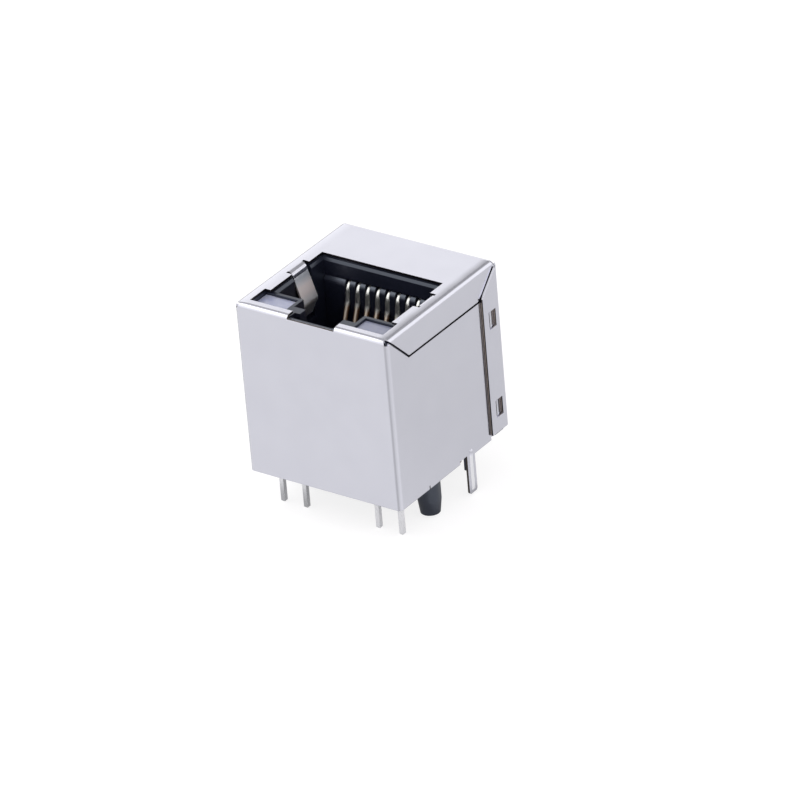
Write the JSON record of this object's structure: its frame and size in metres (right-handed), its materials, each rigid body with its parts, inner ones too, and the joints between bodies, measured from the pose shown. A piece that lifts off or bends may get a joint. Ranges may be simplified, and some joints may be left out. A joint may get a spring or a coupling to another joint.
{
  "type": "rj45 board jack",
  "caption": "Top-entry shielded board jack for a modular plug, with spring contacts, two indicator lamps, locating pegs and ground tabs.",
  "frame": {"origin": "on the board's surface, midway between the two locating pegs", "axes": "+Z away from the board and out of the plug opening, +Y from the lamps to the back panel, +X to the right"},
  "size_m": [0.016, 0.016, 0.0198],
  "materials": {
    "nickel_sheet": "satin nickel plate",
    "black_plastic": "moulded, fine grain",
    "gold_contact": "polished gold plate",
    "lamp_lens": "milky epoxy",
    "tinned_lead": "tinned",
    "lamp_chip": "matt"
  },
  "bodies": {
    "root": {"shield": "nickel_sheet", "housing": "black_plastic", "contact_carrier": "black_plastic", "tail_guide": "black_plastic", "contact_1": "gold_contact", "contact_2": "gold_contact", "contact_3": "gold_contact", "contact_4": "gold_contact", "contact_5": "gold_contact", "contact_6": "gold_contact", "contact_7": "gold_contact", "contact_8": "gold_contact", "led_left_lens": "lamp_lens", "led_right_lens": "lamp_lens", "led_left_cathode": "tinned_lead", "led_left_anode": "tinned_lead", "led_right_cathode": "tinned_lead", "led_right_anode": "tinned_lead", "led_left_die": "lamp_chip", "led_right_die": "lamp_chip"}
  },
  "joints": []
}
